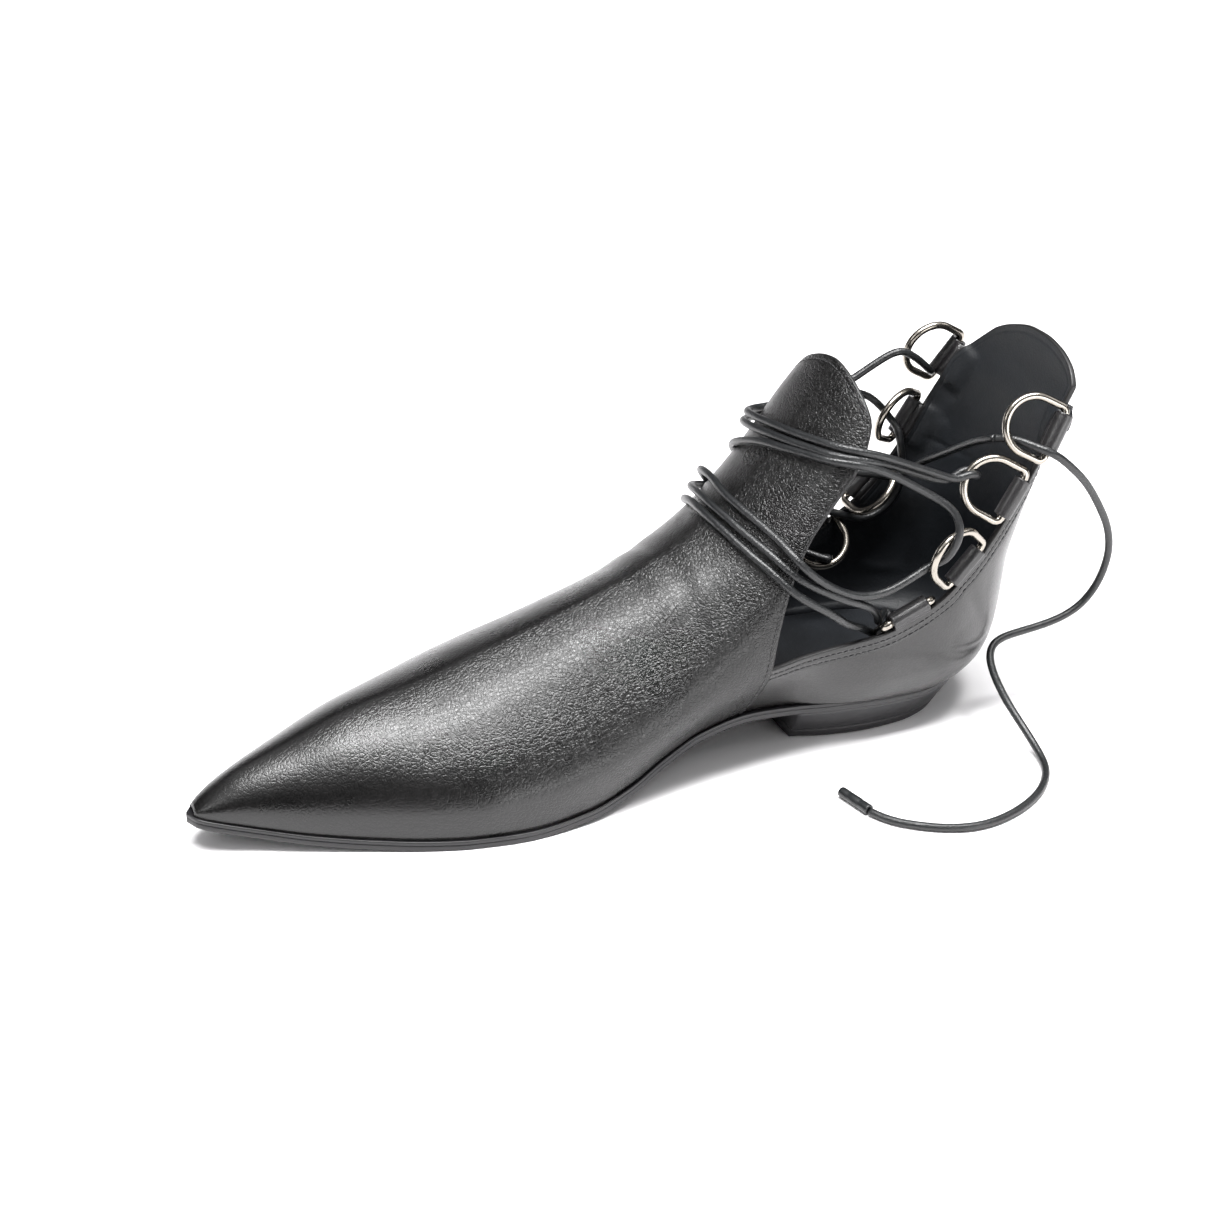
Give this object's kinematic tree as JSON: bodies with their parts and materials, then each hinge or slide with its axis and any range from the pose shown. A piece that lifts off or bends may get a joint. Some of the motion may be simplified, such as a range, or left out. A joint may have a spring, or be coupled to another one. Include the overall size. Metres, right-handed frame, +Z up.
{
  "type": "lace-up shoe",
  "caption": "Right-foot pointed-toe leather ankle shoe with cut-out sides, a tall front flap and a low heel, laced by one round cord through rings on the back shaft.",
  "frame": {"origin": "on the floor under the middle of the heel block's flat underside", "axes": "+X from heel to toe, +Y towards the medial side of this right shoe, +Z up; the floor is Z = 0"},
  "size_m": [0.2956, 0.1307, 0.1189],
  "materials": {
    "upper_leather": "black grained calf leather, satin",
    "sole": "black sole unit, satin edge",
    "lining": "smooth blue-black lining leather",
    "tab_leather": "rolled black leather, glossy",
    "ring_metal": "polished gunmetal plating",
    "lace": "waxed round leather cord, charcoal black",
    "aglet": "black crimped tip"
  },
  "bodies": {
    "root": {"upper": "upper_leather", "outsole": "sole", "heel_block": "sole", "insole": "lining", "tab_medial_1": "tab_leather", "tab_medial_2": "tab_leather", "tab_medial_3": "tab_leather", "tab_medial_4": "tab_leather", "tab_lateral_1": "tab_leather", "tab_lateral_2": "tab_leather", "tab_lateral_3": "tab_leather", "tab_lateral_4": "tab_leather", "ring_medial_1": "ring_metal", "ring_medial_2": "ring_metal", "ring_medial_3": "ring_metal", "ring_medial_4": "ring_metal", "ring_lateral_1": "ring_metal", "ring_lateral_2": "ring_metal", "ring_lateral_3": "ring_metal", "ring_lateral_4": "ring_metal", "lace_wraps": "lace", "lace_end": "lace", "aglet": "aglet"}
  },
  "joints": []
}
